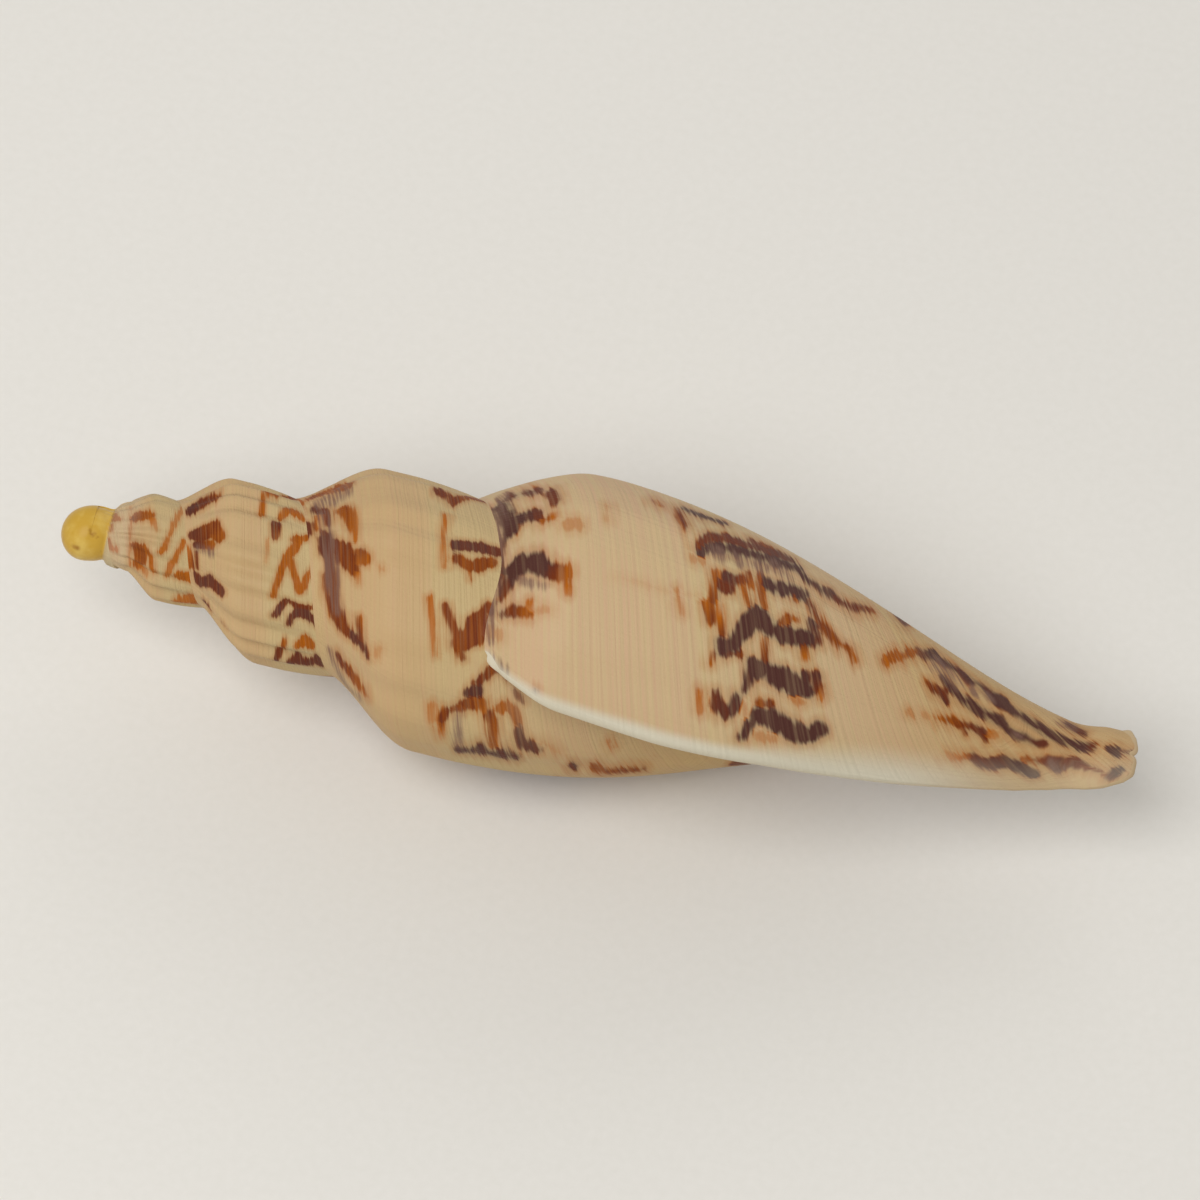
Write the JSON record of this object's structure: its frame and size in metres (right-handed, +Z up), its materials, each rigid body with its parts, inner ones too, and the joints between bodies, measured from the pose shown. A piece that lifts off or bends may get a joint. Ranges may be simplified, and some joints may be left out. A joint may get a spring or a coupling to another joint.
{
  "type": "volute sea shell",
  "caption": "Slender spindle-shaped volute sea shell with a bulbous apex, ribbed spire and long narrow mouth, patterned in brown zigzags.",
  "frame": {"origin": "centre of the bounding box in plan, at the level of the small flat spot that the shell lies on", "axes": "+X along the shell from the apex to the end of the canal, +Y to the side away from the mouth, +Z up"},
  "size_m": [0.1318, 0.0366, 0.0384],
  "materials": {
    "shell_lime": "satin"
  },
  "bodies": {
    "root": {"shell": "shell_lime"}
  },
  "joints": []
}
